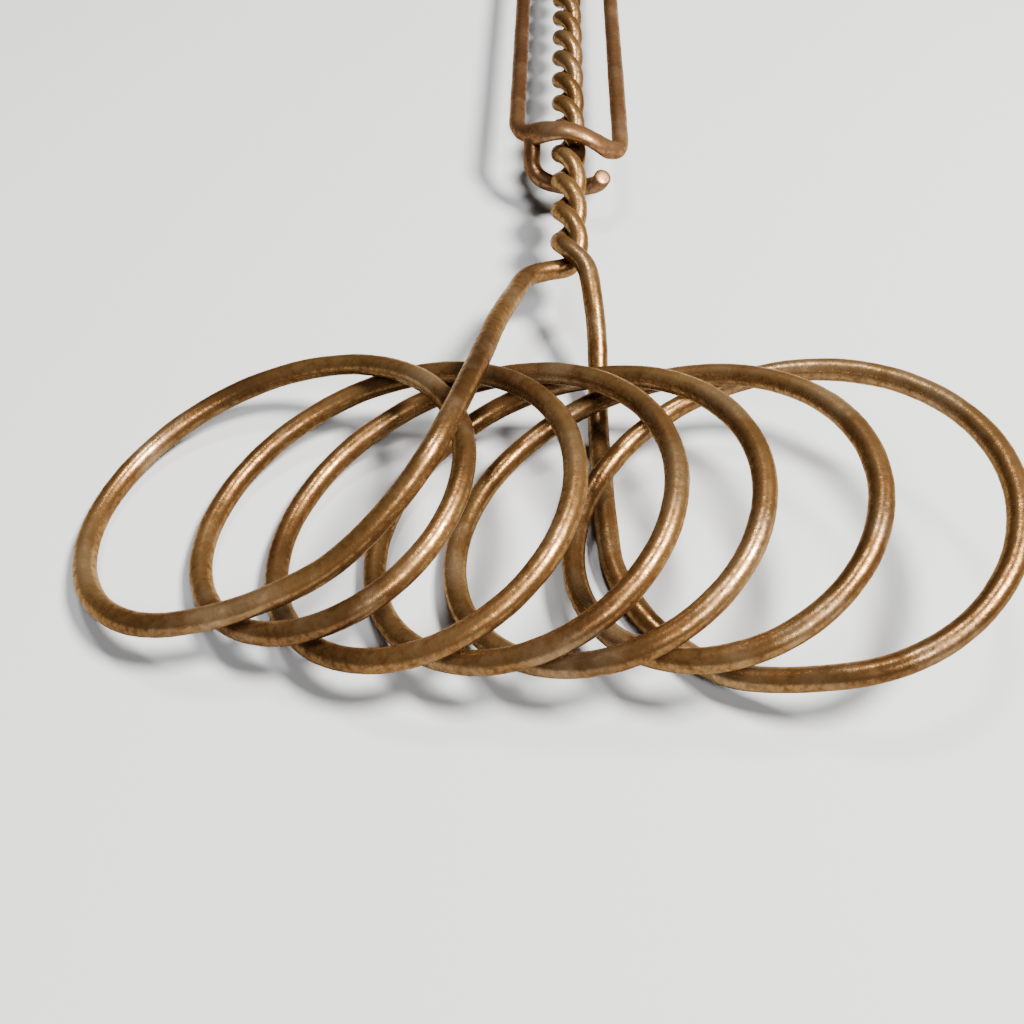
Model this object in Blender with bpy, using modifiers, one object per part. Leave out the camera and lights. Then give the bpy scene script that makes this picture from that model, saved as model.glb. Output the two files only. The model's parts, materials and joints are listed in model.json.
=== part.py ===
"""An all-wire spiral push whisk, lying on a table: a coil head on a twisted two-strand shaft that turns as a
long wire frame slides along it. Lengths are in millimetres and are scaled to metres as each object is made.

Local axes: the shaft runs along +Y at x = 0, the coil lies across -Y, and z = 0 is the table.
"""

import math

import bmesh
import bpy
import numpy as np
from mathutils import Vector

# Driving dimensions, in millimetres and degrees
MM = 0.001
WIRE = 2.4
GAP = 0.3
SPLICE_GAP = 1.0
TUBE_SIDES_SETTING = 2

# Shaft: two strands twisted left-handed
SHAFT_HEIGHT = 8.4
TWIST_LEAD = 13.6
NECK_LEAD = 14.4
STRAND_OFFSET = (WIRE + GAP) / 2
STRAND_END_RISE = 0.7
SPLIT_Y = 0.5
SHAFT_TOP_Y = 106.0
SIDE_BY_SIDE_Y = 24.0
STEPS_PER_LEAD = 12

# Coil head: six leaning turns between the two risers
TURNS = 6
COIL_RADIUS = 17.5
COIL_OVAL = 0.1
COIL_PITCH = 9.65
COIL_LEAN = 20.2
COIL_YAW = -2.8
COIL_CENTRE = (-5.3, -37.4)
STEPS_PER_TURN = 28
# Hand-bent unevenness at the front of each turn: along the coil, lean, towards the shaft, and radius
FRONT_SHIFT = [-0.3, 1.15, 0.7, 0.45, -1.63, 0.12, 0.97]
FRONT_LEAN = [-3.4, -0.3, 0.0, 1.8, 1.0, 3.2, -2.8]
FRONT_BACKSET = [1.95, -0.06, -1.1, -1.41, -0.8, 0.02, 1.5]
FRONT_GROWTH = [0.83, -0.92, 0.63, 0.0, 0.31, -0.18, 1.73]
# The last turn's low side rides over the right riser, so it stands a little higher there
CROSSING_TURN = 5.28
CROSSING_SPREAD = 0.42
CROSSING_LIFT = 1.9
CROSSING_FORWARD = 0.88

# Risers: hand-bent wire between the split of the shaft and each end of the coil
LEFT_RISER = [
    (-2.3, -0.5, 7.2), (-5.0, -2.9, 8.0), (-6.4, -8.5, 9.7), (-7.9, -15.5, 11.8), (-8.9, -22.0, 13.5),
    (-10.0, -29.0, 15.3), (-11.4, -36.0, 16.7), (-13.3, -41.1, 16.2), (-16.7, -45.2, 13.6),
    (-21.9, -48.8, 10.2), (-28.7, -51.4, 8.0),
]
RIGHT_RISER = [
    (1.9, -2.4, 9.3), (2.7, -6.8, 7.8), (3.2, -11.4, 5.5), (3.3, -15.6, 3.2), (3.3, -20.5, 1.5),
    (3.5, -27.5, 1.2), (3.8, -35.0, 1.2), (4.4, -41.0, 1.2), (6.6, -46.2, 1.2), (10.2, -50.6, 1.4),
    (15.2, -54.6, 3.0),
]

# Frame: two legs, a nut over and under the shaft, a twisted neck and a hanging ring
LEG_X = 7.1
LEFT_FOOT_Y = 31.5
RIGHT_FOOT_Y = 27.3
LEG_TOP_Y = 146.0
NUT_SADDLE = [
    (LEG_X, RIGHT_FOOT_Y, 8.4), (6.7, 24.9, 8.5), (5.4, 23.5, 9.3), (3.6, 23.0, 10.7),
    (1.5, 23.1, 11.8), (-0.8, 23.7, 11.9), (-3.1, 25.1, 10.9), (-4.9, 27.2, 9.4), (-6.3, 29.2, 8.6),
    (-LEG_X, LEFT_FOOT_Y, 8.4),
]
NUT_HOOK = [
    (-4.9, 25.4, 7.2), (-4.9, 24.9, 6.2), (-4.2, 24.1, 5.1), (-2.6, 23.3, 4.5), (0.3, 22.6, 4.3),
    (2.7, 22.2, 4.6), (4.1, 21.4, 5.6), (4.6, 20.7, 6.9),
]
NECK_FOOT = (0.0, 153.5, 8.4)
NECK_END = (0.0, 183.0, 3.6)
RING_RADIUS = 11.5
RING_CENTRE_Y = 197.0
RING_SECTION_HEIGHT = 1.05
RING_STEPS = 36

# Guide: a sheet yoke that runs on the legs, between two collars on the shaft
YOKE_THICKNESS = 1.2
YOKE_LENGTH = 20.6
YOKE_DEPTH = 8.6
YOKE_SHAFT_HOLE = 2.9
YOKE_LEG_HOLE = 1.5
YOKE_CORNER = 3.2
YOKE_Y = 102.6
COLLAR_RADIUS = 4.4
COLLAR_THICKNESS = 1.0
COLLAR_BORE = 2.85
CAP_RADIUS = 4.0
CAP_HEIGHT = 1.8

# Finishes: base colour, metallic and roughness
WIRE_FINISH = ((0.23, 0.125, 0.062, 1.0), 0.75, 0.42)
FRAME_FINISH = ((0.27, 0.135, 0.075, 1.0), 0.75, 0.48)
SHEET_FINISH = ((0.20, 0.125, 0.08, 1.0), 0.75, 0.5)


def smooth_through(values, t):
    """A Catmull-Rom curve through evenly spaced values, read at positions t counted in values."""
    values = np.asarray(values, float)
    last = len(values) - 1
    t = np.clip(np.asarray(t, float), 0, last)
    i = np.minimum(t.astype(int), last - 1)
    f = (t - i).reshape(-1, *([1] * (values.ndim - 1)))
    before = np.where((i > 0).reshape(f.shape), values[np.maximum(i - 1, 0)], 2 * values[i] - values[i + 1])
    after_i = np.minimum(i + 2, last)
    after = np.where((i + 2 <= last).reshape(f.shape), values[after_i], 2 * values[i + 1] - values[i])
    here, there = values[i], values[i + 1]
    slope_in, slope_out = (there - before) / 2, (after - here) / 2
    return (
        (2 * f**3 - 3 * f**2 + 1) * here + (f**3 - 2 * f**2 + f) * slope_in
        + (3 * f**2 - 2 * f**3) * there + (f**3 - f**2) * slope_out
    )


def even_points(points, spacing):
    """The same line with its points a given distance apart."""
    points = np.asarray(points, float)
    run = np.concatenate([[0], np.cumsum(np.linalg.norm(np.diff(points, axis=0), axis=1))])
    count = max(2, int(round(run[-1] / spacing)) + 1)
    at = np.linspace(0, run[-1], count)
    return np.stack([np.interp(at, run, points[:, axis]) for axis in range(3)], axis=1)


def coil_line(turn):
    """Centreline of the coil; a whole number of turns is at the front, a quarter later the left side."""
    turn = np.atleast_1d(np.asarray(turn, float))
    lean = np.radians(COIL_LEAN + smooth_through(FRONT_LEAN, turn))
    radius = COIL_RADIUS + smooth_through(FRONT_GROWTH, turn)
    across, ahead = -np.sin(2 * np.pi * turn), -np.cos(2 * np.pi * turn)
    x = COIL_PITCH * (turn - TURNS / 2) + smooth_through(FRONT_SHIFT, turn) + radius * np.cos(lean) * across
    y = smooth_through(FRONT_BACKSET, turn) + (radius + COIL_OVAL) * ahead
    z = WIRE / 2 + radius * np.sin(lean) * (1 + across)
    reach = np.clip((turn - CROSSING_TURN) / CROSSING_SPREAD, -1, 1)
    lift = CROSSING_LIFT * (1 + np.cos(np.pi * reach)) / 2
    yaw = math.radians(COIL_YAW)
    along = x * math.cos(yaw) - (y - CROSSING_FORWARD * lift) * math.sin(yaw)
    back = x * math.sin(yaw) + (y - CROSSING_FORWARD * lift) * math.cos(yaw)
    return np.stack([along + COIL_CENTRE[0], back + COIL_CENTRE[1], z + lift], axis=1)


def strand_line(side, y):
    """Centreline of one strand of the twist; side is +1 for the strand that becomes the right riser."""
    y = np.atleast_1d(np.asarray(y, float))
    angle = 2 * np.pi * (y - SIDE_BY_SIDE_Y) / TWIST_LEAD + (np.pi if side < 0 else 0)
    x, z = STRAND_OFFSET * np.cos(angle), SHAFT_HEIGHT + STRAND_OFFSET * np.sin(angle)
    return np.stack([x, y, z], axis=1)


def riser_line(side):
    """Centreline of a riser, from the split of the shaft to the end of the coil that it carries."""
    run_in = strand_line(side, [SPLIT_Y + 2.4, SPLIT_Y])
    if side > 0:
        run_out = coil_line([TURNS, TURNS - 0.06])
        points = RIGHT_RISER
    else:
        run_out = coil_line([0.0, 0.06])
        points = LEFT_RISER
    route = np.concatenate([run_in, points, run_out])
    fine = smooth_through(route, np.linspace(1, len(route) - 2, 400))
    return even_points(fine, WIRE * 1.3)


def trim(points, start, end):
    """The line shortened by a length at each end."""
    points = np.asarray(points, float)
    run = np.concatenate([[0], np.cumsum(np.linalg.norm(np.diff(points, axis=0), axis=1))])
    keep = (run > start + 0.4) & (run < run[-1] - end - 0.4)
    tips = [np.array([np.interp(at, run, points[:, axis]) for axis in range(3)]) for at in (start, run[-1] - end)]
    return np.concatenate([[tips[0]], points[keep], [tips[1]]])


def material(name, finish):
    colour, metallic, roughness = finish
    made = bpy.data.materials.new(name)
    made.use_nodes = True
    shader = made.node_tree.nodes["Principled BSDF"]
    shader.inputs["Base Color"].default_value = colour
    shader.inputs["Metallic"].default_value = metallic
    shader.inputs["Roughness"].default_value = roughness
    made.diffuse_color = colour
    return made


def add(name, data, collection, parent, finish):
    piece = bpy.data.objects.new(name, data)
    collection.objects.link(piece)
    piece.parent = parent
    piece.matrix_parent_inverse = parent.matrix_world.inverted()
    piece.data.materials.append(finish)
    return piece


def wire(name, points, collection, parent, finish, closed=False):
    """A round wire along a line of points."""
    curve = bpy.data.curves.new(name, "CURVE")
    curve.dimensions = "3D"
    curve.bevel_depth = WIRE / 2 * MM
    curve.bevel_resolution = TUBE_SIDES_SETTING
    curve.use_fill_caps = not closed
    spline = curve.splines.new("POLY")
    spline.points.add(len(points) - 1)
    for target, point in zip(spline.points, points):
        target.co = (*(float(value) * MM for value in point), 1.0)
    spline.use_cyclic_u = closed
    return add(name, curve, collection, parent, finish)


def as_mesh(piece):
    """The same piece as a welded mesh, for cutting."""
    bpy.context.view_layer.update()
    evaluated = piece.evaluated_get(bpy.context.evaluated_depsgraph_get())
    mesh = bpy.data.meshes.new_from_object(evaluated)
    built = bmesh.new()
    built.from_mesh(mesh)
    bmesh.ops.remove_doubles(built, verts=built.verts, dist=0.000001)
    bmesh.ops.recalc_face_normals(built, faces=built.faces)
    built.to_mesh(mesh)
    built.free()
    name, parent, collections = piece.name, piece.parent, piece.users_collection
    matrix = piece.matrix_world.copy()
    bpy.data.objects.remove(piece)
    solid = bpy.data.objects.new(name, mesh)
    collections[0].objects.link(solid)
    solid.parent = parent
    solid.matrix_parent_inverse = parent.matrix_world.inverted()
    solid.matrix_world = matrix
    return solid


def outline(spline_source, points):
    spline = spline_source.splines.new("POLY")
    spline.points.add(len(points) - 1)
    for target, (u, v) in zip(spline.points, points):
        target.co = (u * MM, v * MM, 0.0, 1.0)
    spline.use_cyclic_u = True


def circle(radius, centre=(0.0, 0.0), steps=20):
    return [
        (centre[0] + radius * math.cos(2 * math.pi * i / steps), centre[1] + radius * math.sin(2 * math.pi * i / steps))
        for i in range(steps)
    ]


def rounded_plate(length, depth, corner, steps=5):
    points = []
    for quarter, (sx, sy) in enumerate([(1, 1), (-1, 1), (-1, -1), (1, -1)]):
        for i in range(steps + 1):
            angle = math.radians(90 * quarter + 90 * i / steps)
            points.append((
                sx * (length / 2 - corner) + corner * math.cos(angle),
                sy * (depth / 2 - corner) + corner * math.sin(angle),
            ))
    return points


def plate_across_shaft(name, splines, thickness, y, collection, parent, finish):
    """A flat sheet part with holes, standing across the shaft at y."""
    curve = bpy.data.curves.new(name, "CURVE")
    curve.dimensions = "2D"
    curve.fill_mode = "BOTH"
    curve.extrude = thickness / 2 * MM
    for points in splines:
        outline(curve, points)
    piece = add(name, curve, collection, parent, finish)
    piece.location = Vector((0.0, y, SHAFT_HEIGHT)) * MM
    piece.rotation_euler = (math.radians(90), 0.0, 0.0)
    return piece


def turned_along_shaft(name, profile, y, collection, parent, finish, steps=20):
    """A turned part on the shaft's axis; the profile is (radius, distance along +Y) from top to bottom."""
    mesh = bpy.data.meshes.new(name)
    mesh.from_pydata([(r * MM, 0.0, h * MM) for r, h in profile], [(i, i + 1) for i in range(len(profile) - 1)], [])
    piece = add(name, mesh, collection, parent, finish)
    screw = piece.modifiers.new("turn", "SCREW")
    screw.axis = "Z"
    screw.steps = steps
    screw.render_steps = steps
    screw.use_merge_vertices = True
    screw.merge_threshold = 0.00001
    piece.location = Vector((0.0, y, SHAFT_HEIGHT)) * MM
    piece.rotation_euler = (math.radians(-90), 0.0, 0.0)
    return piece


def build_whisk_head(collection, parent, finish):
    steps = STEPS_PER_TURN
    end_gap = SPLICE_GAP / 2
    for number in range(TURNS):
        line = coil_line(np.linspace(number, number + 1, steps + 1))
        wire(f"coil_turn_{number + 1}", trim(line, end_gap, end_gap), collection, parent, finish)
    for name, side in (("left_riser", -1), ("right_riser", 1)):
        wire(name, trim(riser_line(side), end_gap, end_gap), collection, parent, finish)


def build_shaft(collection, parent, finish):
    length = SHAFT_TOP_Y - SPLIT_Y
    count = int(round(length / TWIST_LEAD * STEPS_PER_LEAD)) + 1
    for name, side in (("shaft_strand_left", -1), ("shaft_strand_right", 1)):
        line = strand_line(side, np.linspace(SPLIT_Y, SHAFT_TOP_Y, count))
        wire(name, trim(line, SPLICE_GAP / 2, 0.0), collection, parent, finish)
    collar = [
        (COLLAR_BORE, COLLAR_THICKNESS / 2), (COLLAR_RADIUS, COLLAR_THICKNESS / 2),
        (COLLAR_RADIUS, -COLLAR_THICKNESS / 2), (COLLAR_BORE, -COLLAR_THICKNESS / 2),
        (COLLAR_BORE, COLLAR_THICKNESS / 2),
    ]
    collar_y = YOKE_Y - YOKE_THICKNESS / 2 - GAP - COLLAR_THICKNESS / 2
    turned_along_shaft("shaft_collar", collar, collar_y, collection, parent, finish)
    upper_y = YOKE_Y + YOKE_THICKNESS / 2 + GAP + COLLAR_THICKNESS / 2
    turned_along_shaft("shaft_washer", collar, upper_y, collection, parent, finish)
    cap = [(0.0, CAP_HEIGHT)]
    cap += [
        (CAP_RADIUS * math.sin(math.radians(a)), CAP_HEIGHT * (0.35 + 0.65 * math.cos(math.radians(a))))
        for a in (30, 60, 90)
    ]
    cap += [(CAP_RADIUS, 0.0), (0.0, 0.0)]
    turned_along_shaft("shaft_end_rivet", cap, SHAFT_TOP_Y + STRAND_END_RISE + GAP, collection, parent, finish)


def build_guide(collection, parent, finish):
    holes = [circle(YOKE_SHAFT_HOLE)] + [circle(YOKE_LEG_HOLE, (side * LEG_X, 0.0), 14) for side in (-1, 1)]
    plate = rounded_plate(YOKE_LENGTH, YOKE_DEPTH, YOKE_CORNER)
    plate_across_shaft("guide_yoke", [plate] + holes, YOKE_THICKNESS, YOKE_Y, collection, parent, finish)


def neck_line(side):
    """One strand of the neck: it leaves a leg's top, closes on the axis, and twists down to the ring."""
    foot, end = np.array(NECK_FOOT), np.array(NECK_END)
    direction = (end - foot) / np.linalg.norm(end - foot)
    sideways = np.array([1.0, 0.0, 0.0])
    upward = np.cross(sideways, direction)
    count = 30
    along = np.linspace(0, np.linalg.norm(end - foot), count)
    start_angle = np.pi if side < 0 else 0.0
    angle = start_angle + 2 * np.pi * along / NECK_LEAD
    twist = (
        foot + along[:, None] * direction
        + STRAND_OFFSET * (np.cos(angle)[:, None] * sideways + np.sin(angle)[:, None] * upward)
    )
    shoulder = [
        (side * LEG_X, LEG_TOP_Y - 3.0, SHAFT_HEIGHT), (side * LEG_X, LEG_TOP_Y, SHAFT_HEIGHT),
        (side * 6.0, LEG_TOP_Y + 3.2, SHAFT_HEIGHT - side * 0.2), (side * 3.4, LEG_TOP_Y + 5.6, SHAFT_HEIGHT - side * 0.6),
    ]
    fine_shoulder = smooth_through(np.concatenate([shoulder, twist[[1, 2]]]), np.linspace(1, 4, 40))
    return even_points(np.concatenate([fine_shoulder, twist[2:]]), WIRE * 0.55)


def build_frame(collection, parent, finish, cutters):
    for name, side, foot_y in (("left_leg", -1, LEFT_FOOT_Y), ("right_leg", 1, RIGHT_FOOT_Y)):
        ends = [(side * LEG_X, foot_y + GAP, SHAFT_HEIGHT), (side * LEG_X, LEG_TOP_Y - GAP, SHAFT_HEIGHT)]
        wire(name, even_points(ends, 20.0), collection, parent, finish)
        wire("neck_strand_" + name.split("_")[0], neck_line(side), collection, parent, finish)
    for name, route in (("nut_saddle", NUT_SADDLE), ("nut_hook", NUT_HOOK)):
        fine = smooth_through(route, np.linspace(0, len(route) - 1, 200))
        wire(name, even_points(fine, WIRE * 0.6), collection, parent, finish)
    centre = np.array([0.0, RING_CENTRE_Y, RING_SECTION_HEIGHT])
    angles = np.linspace(0, 2 * np.pi, RING_STEPS, endpoint=False)
    circle_line = centre + RING_RADIUS * np.stack([np.cos(angles), np.sin(angles), 0 * angles], axis=1)
    ring = as_mesh(wire("hang_ring", circle_line, collection, parent, finish, closed=True))
    cut_flat(ring, RING_CENTRE_Y, cutters)


def cut_flat(piece, y, cutters):
    """Wears a narrow flat on the piece's underside, at the table."""
    bpy.ops.mesh.primitive_cube_add(size=1.0)
    cutter = bpy.context.object
    cutter.name = "table_flat_cutter"
    cutter.scale = (0.05, 0.05, 0.004)
    cutter.parent = piece.parent
    cutter.location = (0.0, y * MM, -0.002)
    cutter.hide_render = True
    cutter.display_type = "WIRE"
    for holder in cutter.users_collection:
        holder.objects.unlink(cutter)
    cutters.objects.link(cutter)
    cut = piece.modifiers.new("table flat", "BOOLEAN")
    cut.operation = "DIFFERENCE"
    cut.solver = "EXACT"
    cut.object = cutter


def stand_on_origin(root):
    """Moves the whole object so that its box is centred over the origin and rests on z = 0."""
    bpy.context.view_layer.update()
    graph = bpy.context.evaluated_depsgraph_get()
    corners = []
    for piece in bpy.data.objects:
        if piece.type in {"MESH", "CURVE"} and not piece.hide_render:
            solid = piece.evaluated_get(graph)
            mesh = solid.to_mesh()
            corners += [solid.matrix_world @ vertex.co for vertex in mesh.vertices]
            solid.to_mesh_clear()
    low = [min(corner[axis] for corner in corners) for axis in range(3)]
    high = [max(corner[axis] for corner in corners) for axis in range(3)]
    root.location = (-round((low[0] + high[0]) / 2, 4), -round((low[1] + high[1]) / 2, 4), 0.0)


def empty(name, parent, place, collection):
    made = bpy.data.objects.new(name, None)
    collection.objects.link(made)
    made.parent = parent
    made.location = Vector(place) * MM
    bpy.context.view_layer.update()
    return made


def main():
    for old in list(bpy.data.objects):
        bpy.data.objects.remove(old)
    collection = bpy.data.collections.new("spiral_push_whisk")
    cutters = bpy.data.collections.new("cutters")
    for made in (collection, cutters):
        bpy.context.scene.collection.children.link(made)
    root = empty("root", None, (0, 0, 0), collection)
    on_axis = (0.0, YOKE_Y, SHAFT_HEIGHT)
    guide_axis = empty("guide_axis", root, on_axis, collection)
    whisk_axis = empty("whisk_axis", root, on_axis, collection)
    whisk_finish = material("whisk_wire", WIRE_FINISH)
    frame_finish = material("frame_wire", FRAME_FINISH)
    sheet_finish = material("guide_sheet", SHEET_FINISH)
    build_whisk_head(collection, whisk_axis, whisk_finish)
    build_shaft(collection, whisk_axis, whisk_finish)
    build_guide(collection, guide_axis, sheet_finish)
    build_frame(collection, root, frame_finish, cutters)
    stand_on_origin(root)


main()
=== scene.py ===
"""Looks of an all-wire spiral push whisk: two long patinated wires, a hook wire and the guide.

Working lengths are in millimetres in the object's own layout (shaft along +Y at x = 0, table at z = 0), and
place() moves them to the frame, whose whisk_spin joint says where the shaft is.
"""

import json
import math

import bmesh
import bpy
import numpy as np
from mathutils import Matrix, Vector, noise


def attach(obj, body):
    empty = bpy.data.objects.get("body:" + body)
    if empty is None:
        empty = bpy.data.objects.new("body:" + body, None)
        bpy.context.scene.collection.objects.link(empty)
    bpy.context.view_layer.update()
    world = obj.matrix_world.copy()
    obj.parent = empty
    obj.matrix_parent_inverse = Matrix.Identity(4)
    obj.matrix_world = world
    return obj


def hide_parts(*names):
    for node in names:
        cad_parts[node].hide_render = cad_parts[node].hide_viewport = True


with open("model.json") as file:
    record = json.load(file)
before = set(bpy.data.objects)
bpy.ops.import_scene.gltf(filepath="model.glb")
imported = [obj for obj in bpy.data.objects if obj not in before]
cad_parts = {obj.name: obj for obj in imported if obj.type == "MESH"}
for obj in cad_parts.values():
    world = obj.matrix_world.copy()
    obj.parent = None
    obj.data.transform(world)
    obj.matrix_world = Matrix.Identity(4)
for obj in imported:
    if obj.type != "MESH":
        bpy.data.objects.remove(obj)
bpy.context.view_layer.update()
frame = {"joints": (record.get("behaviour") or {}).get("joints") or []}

MM = 0.001

# The object's sizes, as in the CAD model
WIRE = 2.4
SHAFT_HEIGHT = 8.4
TWIST_LEAD = 13.6
NECK_LEAD = 14.4
STRAND_OFFSET = 1.22
SPLIT_Y = 0.5
SHAFT_TOP_Y = 106.0
SIDE_BY_SIDE_Y = 24.0
TURNS = 6
COIL_RADIUS = 17.5
COIL_OVAL = 0.1
COIL_PITCH = 9.65
COIL_LEAN = 20.2
COIL_YAW = -2.8
COIL_CENTRE = (-5.3, -37.4)
# The four FRONT lists were fitted by a separate program and pasted in, not chosen by hand
FRONT_SHIFT = [-0.3, 1.15, 0.7, 0.45, -1.63, 0.12, 0.97]
FRONT_LEAN = [-3.4, -0.3, 0.0, 1.8, 1.0, 3.2, -2.8]
FRONT_BACKSET = [1.95, -0.06, -1.1, -1.41, -0.8, 0.02, 1.5]
FRONT_GROWTH = [0.83, -0.92, 0.63, 0.0, 0.31, -0.18, 1.73]
CROSSING_TURN = 5.28
CROSSING_SPREAD = 0.42
CROSSING_LIFT = 1.9
CROSSING_FORWARD = 0.88
# Routes: heights given, most x and y values worked out by a separate program
LEFT_RISER = [
    (-2.3, -0.5, 7.2), (-5.0, -2.9, 8.0), (-6.4, -8.5, 9.7), (-7.9, -15.5, 11.8), (-8.9, -22.0, 13.5),
    (-10.0, -29.0, 15.3), (-11.4, -36.0, 16.7), (-13.3, -41.1, 16.2), (-16.7, -45.2, 13.6),
    (-21.9, -48.8, 10.2), (-28.7, -51.4, 8.0),
]
RIGHT_RISER = [
    (1.9, -2.4, 9.3), (2.7, -6.8, 7.8), (3.2, -11.4, 5.5), (3.3, -15.6, 3.2), (3.3, -20.5, 1.5),
    (3.5, -27.5, 1.2), (3.8, -35.0, 1.2), (4.4, -41.0, 1.2), (6.6, -46.2, 1.2), (10.2, -50.6, 1.4),
    (15.2, -54.6, 3.0),
]
LEG_X = 7.1
LEFT_FOOT_Y = 31.5
RIGHT_FOOT_Y = 27.3
LEG_TOP_Y = 146.0
NUT_SADDLE = [
    (LEG_X, RIGHT_FOOT_Y, 8.4), (6.7, 24.9, 8.5), (5.4, 23.5, 9.3), (3.6, 23.0, 10.7),
    (1.5, 23.1, 11.8), (-0.8, 23.7, 11.9), (-3.1, 25.1, 10.9), (-4.9, 27.2, 9.4), (-6.3, 29.2, 8.6),
    (-LEG_X, LEFT_FOOT_Y, 8.4),
]
NUT_HOOK = [
    (-4.9, 25.4, 7.2), (-4.9, 24.9, 6.2), (-4.2, 24.1, 5.1), (-2.6, 23.3, 4.5), (0.3, 22.6, 4.3),
    (2.7, 22.2, 4.6), (4.1, 21.4, 5.6), (4.6, 20.7, 6.9),
]
HOOK_BRAZE = (-4.9, 26.6, 8.9)
LOOP_WEIGHTS = (0.04, 0.11, 0.21, 0.28, 0.21, 0.11, 0.04)
NECK_FOOT = (0.0, 153.5, 8.4)
NECK_END = (0.0, 183.0, 3.6)
RING_RADIUS = 11.5
RING_CENTRE_Y = 197.0
RING_SECTION_HEIGHT = 1.05
YOKE_Y = 102.6
YOKE_THICKNESS = 1.2
YOKE_HALF_WIDTH = 10.3
YOKE_HALF_HEIGHT = 4.3
YOKE_CORNER = 3.2
SHAFT_HOLE_RADIUS = 2.9
LEG_HOLE_RADIUS = 1.5
WASHER_THICKNESS = 1.0
WASHER_INNER = 2.6
WASHER_OUTER = 4.4
WASHER_GAP = 0.3
RIVET_RADIUS = 4.0
RIVET_HEIGHT = 1.8

# How the wires' surfaces and the flattened saddle depart from plain round wire
POINT_SPACING = 0.3
WIRE_SIDES = 24
BROAD_DENTS = 0.035
FINE_DENTS = 0.020
SURFACE_INSET = 0.055
SADDLE_THIN = 0.22
SADDLE_WIDE = 0.42
SADDLE_HALF_WIDTH = 6.2
SADDLE_FADE = 2.5

# The frame says where that layout stands
spin = next(joint for joint in frame["joints"] if joint["name"] == "whisk_spin")
LAYOUT_ORIGIN = Vector(spin["pos_m"]) - Vector((0.0, YOKE_Y, SHAFT_HEIGHT)) * MM


def place(points):
    """Millimetres in the layout to metres in the frame."""
    return np.asarray(points, float) * MM + np.array(LAYOUT_ORIGIN)


# ---------------------------------------------------------------- lines


def smooth_through(values, t):
    """A Catmull-Rom curve through evenly spaced values, read at positions t counted in values."""
    values = np.asarray(values, float)
    last = len(values) - 1
    t = np.clip(np.asarray(t, float), 0, last)
    i = np.minimum(t.astype(int), last - 1)
    f = (t - i).reshape(-1, *([1] * (values.ndim - 1)))
    before = np.where((i > 0).reshape(f.shape), values[np.maximum(i - 1, 0)], 2 * values[i] - values[i + 1])
    after_i = np.minimum(i + 2, last)
    after = np.where((i + 2 <= last).reshape(f.shape), values[after_i], 2 * values[i + 1] - values[i])
    here, there = values[i], values[i + 1]
    slope_in, slope_out = (there - before) / 2, (after - here) / 2
    return (
        (2 * f**3 - 3 * f**2 + 1) * here + (f**3 - 2 * f**2 + f) * slope_in
        + (3 * f**2 - 2 * f**3) * there + (f**3 - f**2) * slope_out
    )


def run_along(points):
    return np.concatenate([[0], np.cumsum(np.linalg.norm(np.diff(points, axis=0), axis=1))])


def even_points(points, spacing):
    """The same line with its points a given distance apart."""
    points = np.asarray(points, float)
    run = run_along(points)
    count = max(2, int(round(run[-1] / spacing)) + 1)
    at = np.linspace(0, run[-1], count)
    return np.stack([np.interp(at, run, points[:, axis]) for axis in range(3)], axis=1)


def soften(points, reach):
    """Rounds a line's small kinks: each point becomes a weighted mean of those within reach points of it."""
    weights = np.cos(np.linspace(-0.5, 0.5, 2 * reach + 3)[1:-1] * np.pi) ** 2
    weights /= weights.sum()
    padded = np.concatenate([
        2 * points[0] - points[1 : reach + 1][::-1], points, 2 * points[-1] - points[-reach - 1 : -1][::-1],
    ])
    return np.stack([np.convolve(padded[:, axis], weights, mode="valid") for axis in range(3)], axis=1)


def coil_line(turn):
    """Centreline of the coil; a whole number of turns is at the front, a quarter later the left side."""
    turn = np.atleast_1d(np.asarray(turn, float))
    lean = np.radians(COIL_LEAN + smooth_through(FRONT_LEAN, turn))
    radius = COIL_RADIUS + smooth_through(FRONT_GROWTH, turn)
    across, ahead = -np.sin(2 * np.pi * turn), -np.cos(2 * np.pi * turn)
    x = COIL_PITCH * (turn - TURNS / 2) + smooth_through(FRONT_SHIFT, turn) + radius * np.cos(lean) * across
    y = smooth_through(FRONT_BACKSET, turn) + (radius + COIL_OVAL) * ahead
    z = WIRE / 2 + radius * np.sin(lean) * (1 + across)
    reach = np.clip((turn - CROSSING_TURN) / CROSSING_SPREAD, -1, 1)
    lift = CROSSING_LIFT * (1 + np.cos(np.pi * reach)) / 2
    yaw = math.radians(COIL_YAW)
    along = x * math.cos(yaw) - (y - CROSSING_FORWARD * lift) * math.sin(yaw)
    back = x * math.sin(yaw) + (y - CROSSING_FORWARD * lift) * math.cos(yaw)
    return np.stack([along + COIL_CENTRE[0], back + COIL_CENTRE[1], z + lift], axis=1)


def strand_line(side, y):
    """Centreline of one strand of the twist; side is +1 for the strand that becomes the right riser."""
    y = np.atleast_1d(np.asarray(y, float))
    angle = 2 * np.pi * (y - SIDE_BY_SIDE_Y) / TWIST_LEAD + (np.pi if side < 0 else 0)
    x, z = STRAND_OFFSET * np.cos(angle), SHAFT_HEIGHT + STRAND_OFFSET * np.sin(angle)
    return np.stack([x, y, z], axis=1)


def riser_line(side):
    """Centreline of a riser, from the split of the shaft to the end of the coil that it carries."""
    run_in = strand_line(side, [SPLIT_Y + 2.4, SPLIT_Y])
    if side > 0:
        run_out = coil_line([TURNS, TURNS - 0.06])
        points = RIGHT_RISER
    else:
        run_out = coil_line([0.0, 0.06])
        points = LEFT_RISER
    route = np.concatenate([run_in, points, run_out])
    return smooth_through(route, np.linspace(1, len(route) - 2, 400))


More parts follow.
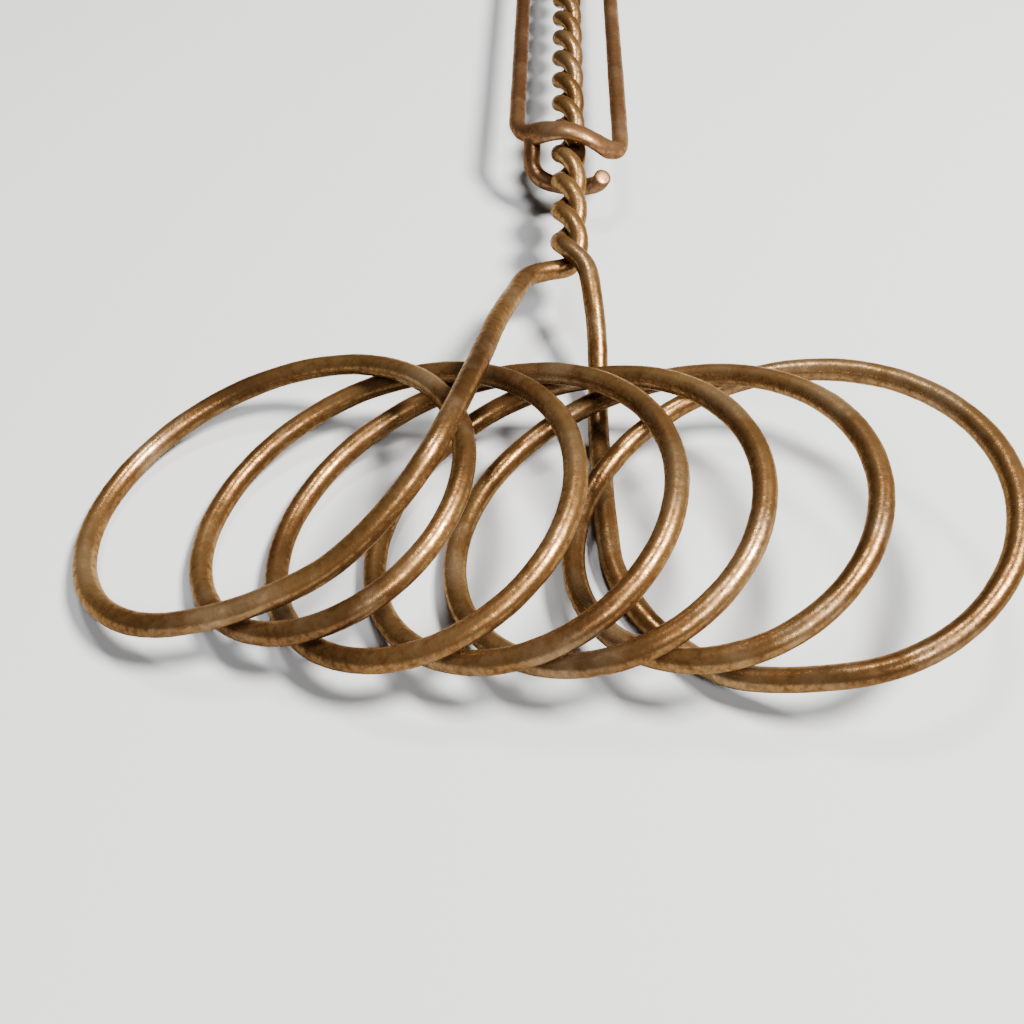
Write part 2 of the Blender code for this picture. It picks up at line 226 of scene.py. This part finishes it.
def whisk_wire_line():
    """The whole whisk wire: down one strand, round the coil, and back up the other strand."""
    down = strand_line(-1, np.linspace(SHAFT_TOP_Y, SPLIT_Y, 500))
    coil = coil_line(np.linspace(0, TURNS, 900))
    up = strand_line(1, np.linspace(SPLIT_Y, SHAFT_TOP_Y, 500))
    whole = np.concatenate([down[:-1], riser_line(-1), coil[1:-1], riser_line(1)[::-1], up[1:]])
    return soften(even_points(whole, POINT_SPACING), 4)


def neck_strand(side):
    """One strand of the neck: it leaves a leg's top, closes on the axis, and twists down to the ring."""
    foot, end = np.array(NECK_FOOT), np.array(NECK_END)
    direction = (end - foot) / np.linalg.norm(end - foot)
    sideways = np.array([1.0, 0.0, 0.0])
    upward = np.cross(sideways, direction)
    along = np.linspace(0, np.linalg.norm(end - foot), 160)
    angle = (np.pi if side < 0 else 0.0) + 2 * np.pi * along / NECK_LEAD
    twist = (
        foot + along[:, None] * direction
        + STRAND_OFFSET * (np.cos(angle)[:, None] * sideways + np.sin(angle)[:, None] * upward)
    )
    shoulder = [
        (side * LEG_X, LEG_TOP_Y - 3.0, SHAFT_HEIGHT), (side * LEG_X, LEG_TOP_Y, SHAFT_HEIGHT),
        (side * 6.0, LEG_TOP_Y + 3.2, SHAFT_HEIGHT - side * 0.2),
        (side * 3.4, LEG_TOP_Y + 5.6, SHAFT_HEIGHT - side * 0.6),
    ]
    fine_shoulder = smooth_through(np.concatenate([shoulder, twist[[6, 12]]]), np.linspace(1, 4, 60))
    return np.concatenate([fine_shoulder, twist[8:]])


def ring_line():
    """The hanging eye, from the left strand's end, round the far side, to the right strand's end."""
    open_angle = math.radians(32)
    angles = np.linspace(-math.pi / 2 - open_angle, -5 * math.pi / 2 + open_angle, 140)
    centre = np.array([0.0, RING_CENTRE_Y, RING_SECTION_HEIGHT])
    return centre + RING_RADIUS * np.stack([np.cos(angles), np.sin(angles), 0 * angles], axis=1)


def frame_wire_line():
    """The whole frame wire: from the left foot, up round the ring, and down to the saddle and the same foot."""
    top_y = LEG_TOP_Y - 0.5
    left_leg = np.linspace((-LEG_X, LEFT_FOOT_Y, SHAFT_HEIGHT), (-LEG_X, top_y, SHAFT_HEIGHT), 60)
    right_leg = np.linspace((LEG_X, top_y, SHAFT_HEIGHT), (LEG_X, RIGHT_FOOT_Y + 0.6, SHAFT_HEIGHT), 60)
    saddle = smooth_through(NUT_SADDLE, np.linspace(0, len(NUT_SADDLE) - 1, 160))
    left, right = neck_strand(-1), neck_strand(1)
    ring = ring_line()
    flare_in = smooth_through([left[-20], left[-1], ring[0], ring[8]], np.linspace(1, 2, 12))[1:-1]
    flare_out = smooth_through([ring[-9], ring[-1], right[-1], right[-20]], np.linspace(1, 2, 12))[1:-1]
    whole = np.concatenate([left_leg, left, flare_in, ring, flare_out, right[::-1], right_leg, saddle[1:]])
    return close_up(even_points(whole, POINT_SPACING))


def close_up(points):
    """Takes the repeated end point off a loop and rounds its small kinks all the way round."""
    loop = points[:-1]
    return sum(np.roll(loop, shift, axis=0) * weight for shift, weight in zip(range(-3, 4), LOOP_WEIGHTS))


def hook_line():
    """The short wire under the shaft, from its brazed end inside the saddle to its free cut end."""
    route = np.concatenate([[HOOK_BRAZE], NUT_HOOK])
    return soften(even_points(smooth_through(route, np.linspace(0, len(route) - 1, 160)), POINT_SPACING), 2)


# ---------------------------------------------------------------- wires as meshes


def frames_along(points, joined):
    """Tangent, normal and binormal along a line, carried without twist; on a joined line they meet again."""
    if joined:
        tangent = np.roll(points, -1, axis=0) - np.roll(points, 1, axis=0)
    else:
        tangent = np.gradient(points, axis=0)
    tangent /= np.linalg.norm(tangent, axis=1)[:, None]
    normal = np.zeros_like(points)
    first = np.cross(tangent[0], [0.0, 0.0, 1.0])
    if np.linalg.norm(first) < 0.1:
        first = np.cross(tangent[0], [1.0, 0.0, 0.0])
    normal[0] = first / np.linalg.norm(first)
    for i in range(1, len(points)):
        carried = normal[i - 1] - tangent[i] * normal[i - 1].dot(tangent[i])
        normal[i] = carried / np.linalg.norm(carried)
    if joined:
        last = normal[-1] - tangent[0] * normal[-1].dot(tangent[0])
        miss = math.atan2(np.cross(normal[0], last).dot(tangent[0]), normal[0].dot(last))
        turn = -miss * np.linspace(0, 1, len(points))[:, None]
        normal = normal * np.cos(turn) + np.cross(tangent, normal) * np.sin(turn)
    return tangent, normal, np.cross(tangent, normal)


def hand_drawn_radius(run, seed):
    """Wire radius along its length: drawn wire is never quite even."""
    return WIRE / 2 * (
        1 + 0.012 * np.sin(run * 0.21 + seed) + 0.010 * np.sin(run * 0.083 + 2.1 * seed)
        + 0.006 * np.sin(run * 0.77 + 3.3 * seed)
    )


def stretched(offset, axis, share):
    """The surface offsets with their part along an axis made larger or smaller by a share of itself."""
    along = np.einsum("ijk,ik->ij", offset, axis)
    return offset + share[:, None, None] * along[:, :, None] * axis[:, None, :]


def tube(name, line, seed, flatten=None, floor=None, joined=False):
    """A wire as one closed mesh with shallow dents; its ends are rounded cuts, or joined to each other."""
    tangent, normal, binormal = frames_along(line, joined)
    run = run_along(line)
    radius = hand_drawn_radius(run, seed)
    sides = WIRE_SIDES
    angles = np.linspace(0, 2 * np.pi, sides, endpoint=False)[None, :, None]
    ring = np.cos(angles) * normal[:, None, :] + np.sin(angles) * binormal[:, None, :]
    offset = ring * radius[:, None, None]
    if flatten is not None:
        axis, thin, wide = flatten(line, tangent)
        offset = stretched(offset, axis, thin - 1)
        offset = stretched(offset, np.cross(tangent, axis), wide - 1)
    shell = line[:, None, :] + offset
    flat = shell.reshape(-1, 3)
    outward = ring.reshape(-1, 3)
    dents = np.array([
        BROAD_DENTS * noise.noise(Vector(p * 0.3 + seed)) + FINE_DENTS * noise.noise(Vector(p * 1.1 - seed))
        for p in flat
    ])
    shell = (flat + outward * (dents - SURFACE_INSET)[:, None]).reshape(shell.shape)
    rings = [shell[i] for i in range(len(line))]
    for place_at, sign in (() if joined else ((0, -1.0), (-1, 1.0))):
        rim, middle = rings[place_at], line[place_at]
        caps = []
        for share, rise in ((0.93, 0.10), (0.78, 0.17), (0.42, 0.21)):
            caps.append(middle + (rim - middle) * share + sign * tangent[place_at] * rise)
        if sign < 0:
            rings = caps[::-1] + rings
        else:
            rings = rings + caps
    points = np.concatenate(rings)
    if floor is not None:
        points[:, 2] = np.maximum(points[:, 2], floor)
    total = len(rings)
    faces = []
    for i in range(total if joined else total - 1):
        near, far = i * sides, (i + 1) % total * sides
        for j in range(sides):
            k = (j + 1) % sides
            faces.append((near + j, near + k, far + k, far + j))
    if not joined:
        faces.append(tuple(range(sides - 1, -1, -1)))
        faces.append(tuple((total - 1) * sides + j for j in range(sides)))
    mesh = bpy.data.meshes.new(name)
    mesh.from_pydata(place(points).tolist(), [], faces)
    mesh.shade_smooth()
    piece = bpy.data.objects.new(name, mesh)
    bpy.context.scene.collection.objects.link(piece)
    bad = bmesh.new()
    bad.from_mesh(mesh)
    bmesh.ops.recalc_face_normals(bad, faces=bad.faces)
    bad.to_mesh(mesh)
    bad.free()
    return piece


def saddle_flattening(line, tangent):
    """The saddle over the shaft is hammered wider and thinner than the round wire."""
    outward = line - np.array([0.0, 0.0, SHAFT_HEIGHT])
    outward[:, 1] = 0.0
    outward -= tangent * np.einsum("ij,ij->i", outward, tangent)[:, None]
    size = np.linalg.norm(outward, axis=1)
    axis = outward / np.maximum(size, 0.001)[:, None]
    across = np.clip((SADDLE_HALF_WIDTH - np.abs(line[:, 0])) / SADDLE_FADE, 0, 1)
    share = across * (line[:, 1] < RIGHT_FOOT_Y + 3)
    share = share * share * (3 - 2 * share)
    return axis, 1 - SADDLE_THIN * share, 1 + SADDLE_WIDE * share


# ---------------------------------------------------------------- materials


def ramp(tree, at, stops):
    made = tree.nodes.new("ShaderNodeValToRGB")
    made.location = at
    elements = made.color_ramp.elements
    while len(elements) < len(stops):
        elements.new(0.5)
    for element, (position, colour) in zip(elements, stops):
        element.position = position
        element.color = (*colour, 1.0)
    return made


def noise_texture(tree, at, scale, detail, roughness, coordinates):
    made = tree.nodes.new("ShaderNodeTexNoise")
    made.location = at
    made.inputs["Scale"].default_value = scale
    made.inputs["Detail"].default_value = detail
    made.inputs["Roughness"].default_value = roughness
    tree.links.new(coordinates, made.inputs["Vector"])
    return made


def grey(value):
    return (value, value, value)


def patina(name, dark, middle, light, worn, metallic, roughness):
    """Old iron: layered brown patina, fine rust grain and pale rubbed patches."""
    made = bpy.data.materials.new(name)
    made.use_nodes = True
    tree = made.node_tree
    shader = tree.nodes["Principled BSDF"]
    place_in = tree.nodes.new("ShaderNodeTexCoord")
    place_in.location = (-1500, 0)
    object_space = place_in.outputs["Object"]

    broad = noise_texture(tree, (-1200, 400), 55.0, 4.0, 0.55, object_space)
    base = ramp(tree, (-980, 400), [(0.30, dark), (0.50, middle), (0.72, light)])
    tree.links.new(broad.outputs["Fac"], base.inputs["Fac"])

    grain = noise_texture(tree, (-1200, 120), 1500.0, 5.0, 0.65, object_space)
    grain_mask = ramp(tree, (-980, 120), [(0.42, grey(0.0)), (0.66, grey(1.0))])
    tree.links.new(grain.outputs["Fac"], grain_mask.inputs["Fac"])

    rubbed = noise_texture(tree, (-1200, -160), 120.0, 6.0, 0.6, object_space)
    rubbed_mask = ramp(tree, (-980, -160), [(0.50, grey(0.0)), (0.70, grey(1.0))])
    tree.links.new(rubbed.outputs["Fac"], rubbed_mask.inputs["Fac"])

    darker = tree.nodes.new("ShaderNodeMix")
    darker.data_type = "RGBA"
    darker.blend_type = "MULTIPLY"
    darker.location = (-640, 320)
    darker.inputs["B"].default_value = (0.45, 0.33, 0.24, 1.0)
    tree.links.new(grain_mask.outputs["Color"], darker.inputs["Factor"])
    tree.links.new(base.outputs["Color"], darker.inputs["A"])

    lighter = tree.nodes.new("ShaderNodeMix")
    lighter.data_type = "RGBA"
    lighter.location = (-420, 240)
    lighter.inputs["B"].default_value = (*worn, 1.0)
    half = tree.nodes.new("ShaderNodeMath")
    half.operation = "MULTIPLY"
    half.location = (-640, -60)
    half.inputs[1].default_value = 0.32
    tree.links.new(rubbed_mask.outputs["Color"], half.inputs[0])
    tree.links.new(half.outputs[0], lighter.inputs["Factor"])
    tree.links.new(darker.outputs["Result"], lighter.inputs["A"])
    tree.links.new(lighter.outputs["Result"], shader.inputs["Base Color"])

    rough = tree.nodes.new("ShaderNodeMapRange")
    rough.location = (-420, -60)
    rough.inputs["To Min"].default_value = roughness - 0.08
    rough.inputs["To Max"].default_value = roughness + 0.16
    tree.links.new(grain_mask.outputs["Color"], rough.inputs["Value"])
    tree.links.new(rough.outputs["Result"], shader.inputs["Roughness"])

    pits = tree.nodes.new("ShaderNodeBump")
    pits.location = (-420, -320)
    pits.inputs["Strength"].default_value = 0.5
    pits.inputs["Distance"].default_value = 0.00007
    tree.links.new(grain.outputs["Fac"], pits.inputs["Height"])
    tree.links.new(pits.outputs["Normal"], shader.inputs["Normal"])

    shader.inputs["Metallic"].default_value = metallic
    shader.inputs["Specular IOR Level"].default_value = 0.65
    shader.inputs["Specular Tint"].default_value = (0.64, 0.50, 0.36, 1.0)
    return made


# ---------------------------------------------------------------- guide parts


def finish_edges(piece, width, segments=3):
    bevel = piece.modifiers.new("edges", "BEVEL")
    bevel.width = width * MM
    bevel.segments = segments
    bevel.limit_method = "ANGLE"
    bevel.angle_limit = math.radians(35)


def yoke_piece():
    """The sheet yoke: a flat strip with round ends, a hole for the shaft and a hole for each leg."""
    curve = bpy.data.curves.new("yoke", "CURVE")
    curve.dimensions = "2D"
    curve.fill_mode = "BOTH"
    curve.extrude = YOKE_THICKNESS / 2 * MM
    corner_x, corner_y = YOKE_HALF_WIDTH - YOKE_CORNER, YOKE_HALF_HEIGHT - YOKE_CORNER
    outline_points = []
    for quarter, (sx, sy) in enumerate([(1, 1), (-1, 1), (-1, -1), (1, -1)]):
        for i in range(9):
            angle = math.radians(90 * quarter + 90 * i / 8)
            outline_points.append((
                sx * corner_x + YOKE_CORNER * math.cos(angle), sy * corner_y + YOKE_CORNER * math.sin(angle),
            ))
    loops = [outline_points]
    for centre_x, radius in ((0.0, SHAFT_HOLE_RADIUS), (-LEG_X, LEG_HOLE_RADIUS), (LEG_X, LEG_HOLE_RADIUS)):
        loops.append([
            (centre_x + radius * math.cos(2 * math.pi * i / 36), radius * math.sin(2 * math.pi * i / 36))
            for i in range(36)
        ])
    for points in loops:
        spline = curve.splines.new("POLY")
        spline.points.add(len(points) - 1)
        for target, (u, v) in zip(spline.points, points):
            target.co = (u * MM, v * MM, 0.0, 1.0)
        spline.use_cyclic_u = True
    holder = bpy.data.objects.new("yoke_curve", curve)
    bpy.context.scene.collection.objects.link(holder)
    bpy.context.view_layer.update()
    mesh = bpy.data.meshes.new_from_object(holder.evaluated_get(bpy.context.evaluated_depsgraph_get()))
    bpy.data.objects.remove(holder)
    built = bmesh.new()
    built.from_mesh(mesh)
    bmesh.ops.remove_doubles(built, verts=built.verts, dist=0.000001)
    bmesh.ops.recalc_face_normals(built, faces=built.faces)
    built.to_mesh(mesh)
    built.free()
    piece = bpy.data.objects.new("guide_yoke_plate", mesh)
    bpy.context.scene.collection.objects.link(piece)
    piece.location = LAYOUT_ORIGIN + Vector((0.0, YOKE_Y, SHAFT_HEIGHT)) * MM
    piece.rotation_euler = (math.radians(90), 0.0, 0.0)
    finish_edges(piece, 0.22)
    return piece


def turned(name, profile, y, steps=48):
    """A round part on the shaft's axis; the profile is (radius, height)."""
    mesh = bpy.data.meshes.new(name)
    edges = [(i, i + 1) for i in range(len(profile) - 1)]
    mesh.from_pydata([(r * MM, 0.0, h * MM) for r, h in profile], edges, [])
    piece = bpy.data.objects.new(name, mesh)
    bpy.context.scene.collection.objects.link(piece)
    screw = piece.modifiers.new("turn", "SCREW")
    screw.axis = "Z"
    screw.steps = steps
    screw.render_steps = steps
    screw.use_merge_vertices = True
    screw.merge_threshold = 0.00001
    piece.location = LAYOUT_ORIGIN + Vector((0.0, y, SHAFT_HEIGHT)) * MM
    piece.rotation_euler = (math.radians(-90), 0.0, 0.0)
    return piece


def washer_profile(corner=0.2):
    inner, outer, half = WASHER_INNER, WASHER_OUTER, WASHER_THICKNESS / 2
    return [
        (inner, half - corner), (inner + corner * 0.3, half - corner * 0.3), (inner + corner, half),
        (outer - corner, half), (outer - corner * 0.3, half - corner * 0.3), (outer, half - corner),
        (outer, -half + corner), (outer - corner * 0.3, -half + corner * 0.3), (outer - corner, -half),
        (inner + corner, -half), (inner + corner * 0.3, -half + corner * 0.3), (inner, -half + corner),
        (inner, half - corner),
    ]


# ---------------------------------------------------------------- the object

whisk_patina = patina(
    "whisk_patina", dark=(0.065, 0.029, 0.010), middle=(0.150, 0.077, 0.026), light=(0.245, 0.140, 0.052),
    worn=(0.42, 0.30, 0.17), metallic=0.82, roughness=0.30,
)
frame_patina = patina(
    "frame_patina", dark=(0.065, 0.028, 0.012), middle=(0.140, 0.067, 0.028), light=(0.22, 0.120, 0.055),
    worn=(0.38, 0.26, 0.15), metallic=0.82, roughness=0.38,
)
sheet_patina = patina(
    "sheet_patina", dark=(0.10, 0.048, 0.022), middle=(0.19, 0.10, 0.046), light=(0.27, 0.155, 0.08),
    worn=(0.38, 0.26, 0.16), metallic=0.8, roughness=0.42,
)

whisk_wire = tube("whisk_wire", whisk_wire_line(), 1.3, floor=0.0)
whisk_wire.data.materials.append(whisk_patina)
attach(whisk_wire, "whisk")
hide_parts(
    "left_riser", "right_riser", "shaft_strand_left", "shaft_strand_right",
    *[f"coil_turn_{number}" for number in range(1, TURNS + 1)],
)

frame_wire = tube("frame_wire", frame_wire_line(), 4.1, flatten=saddle_flattening, floor=0.0, joined=True)
hook_wire = tube("hook_wire", hook_line(), 2.7)
for piece in (frame_wire, hook_wire):
    piece.data.materials.append(frame_patina)
    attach(piece, "frame")
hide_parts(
    "left_leg", "right_leg", "neck_strand_left", "neck_strand_right", "hang_ring", "nut_saddle",
)
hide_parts("nut_hook")

yoke = yoke_piece()
collar_offset = YOKE_THICKNESS / 2 + WASHER_GAP + WASHER_THICKNESS / 2
guide_parts = [
    (yoke, "guide", "guide_yoke"),
    (turned("collar_washer", washer_profile(), YOKE_Y - collar_offset), "whisk", "shaft_collar"),
    (turned("end_washer", washer_profile(), YOKE_Y + collar_offset), "whisk", "shaft_washer"),
]
rivet_profile = [(0.0, RIVET_HEIGHT)]
for angle in range(10, 91, 10):
    dome_height = RIVET_HEIGHT * (0.35 + 0.65 * math.cos(math.radians(angle)))
    rivet_profile.append((RIVET_RADIUS * math.sin(math.radians(angle)), dome_height))
rivet_profile += [(RIVET_RADIUS, 0.15), (RIVET_RADIUS - 0.15, 0.0), (0.0, 0.0)]
guide_parts.append((turned("end_rivet", rivet_profile, SHAFT_TOP_Y + 1.0), "whisk", "shaft_end_rivet"))
for piece, body, cad_node in guide_parts:
    piece.data.materials.append(sheet_patina)
    piece.data.shade_smooth()
    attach(piece, body)
    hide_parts(cad_node)

# ---------------------------------------------------------------- stage, light and camera

bpy.ops.mesh.primitive_plane_add(size=6.0, location=(0.0, 0.0, 0.0))
floor = bpy.context.object
floor.name = "floor"
floor_material = bpy.data.materials.new("floor")
floor_material.use_nodes = True
floor_shader = floor_material.node_tree.nodes["Principled BSDF"]
floor_shader.inputs["Base Color"].default_value = (0.33, 0.327, 0.323, 1.0)
floor_shader.inputs["Roughness"].default_value = 0.9
floor.data.materials.append(floor_material)

world = bpy.data.worlds.new("studio")
bpy.context.scene.world = world
world.use_nodes = True
world.node_tree.nodes["Background"].inputs["Color"].default_value = (0.80, 0.84, 0.90, 1.0)
world.node_tree.nodes["Background"].inputs["Strength"].default_value = 0.06


LIGHT_TARGET = (0.0, -0.08, 0.0)


def area_light(name, place_at, size, power, colour):
    """A round soft light aimed at the coil."""
    light = bpy.data.lights.new(name, "AREA")
    light.shape = "DISK"
    light.size = size
    light.energy = power
    light.color = colour
    lamp = bpy.data.objects.new(name, light)
    bpy.context.scene.collection.objects.link(lamp)
    lamp.location = place_at
    lamp.rotation_euler = (Vector(LIGHT_TARGET) - Vector(place_at)).to_track_quat("-Z", "Y").to_euler()


area_light("key", (0.36, -0.16, 0.58), 0.18, 29.0, (1.0, 0.99, 0.97))
area_light("front", (0.20, -0.50, 0.50), 0.18, 4.5, (0.96, 0.97, 1.0))
area_light("overhead", (-0.06, 0.12, 0.66), 0.12, 4.5, (0.97, 0.98, 1.0))

CAMERA_PLACE = (-3.1, -106.3, 83.9)
CAMERA_DOWN = 48.77
CAMERA_YAW = 2.23
CAMERA_ROLL = -0.71
camera_data = bpy.data.cameras.new("camera")
camera_data.lens = 37.27
camera_data.sensor_width = 36.0
camera_data.clip_start = 0.005
camera = bpy.data.objects.new("camera", camera_data)
bpy.context.scene.collection.objects.link(camera)
camera.matrix_world = (
    Matrix.Translation(LAYOUT_ORIGIN + Vector(CAMERA_PLACE) * MM)
    @ Matrix.Rotation(math.radians(CAMERA_YAW), 4, "Z")
    @ Matrix.Rotation(math.radians(90 - CAMERA_DOWN), 4, "X")
    @ Matrix.Rotation(math.radians(CAMERA_ROLL), 4, "Z")
)
bpy.context.scene.camera = camera
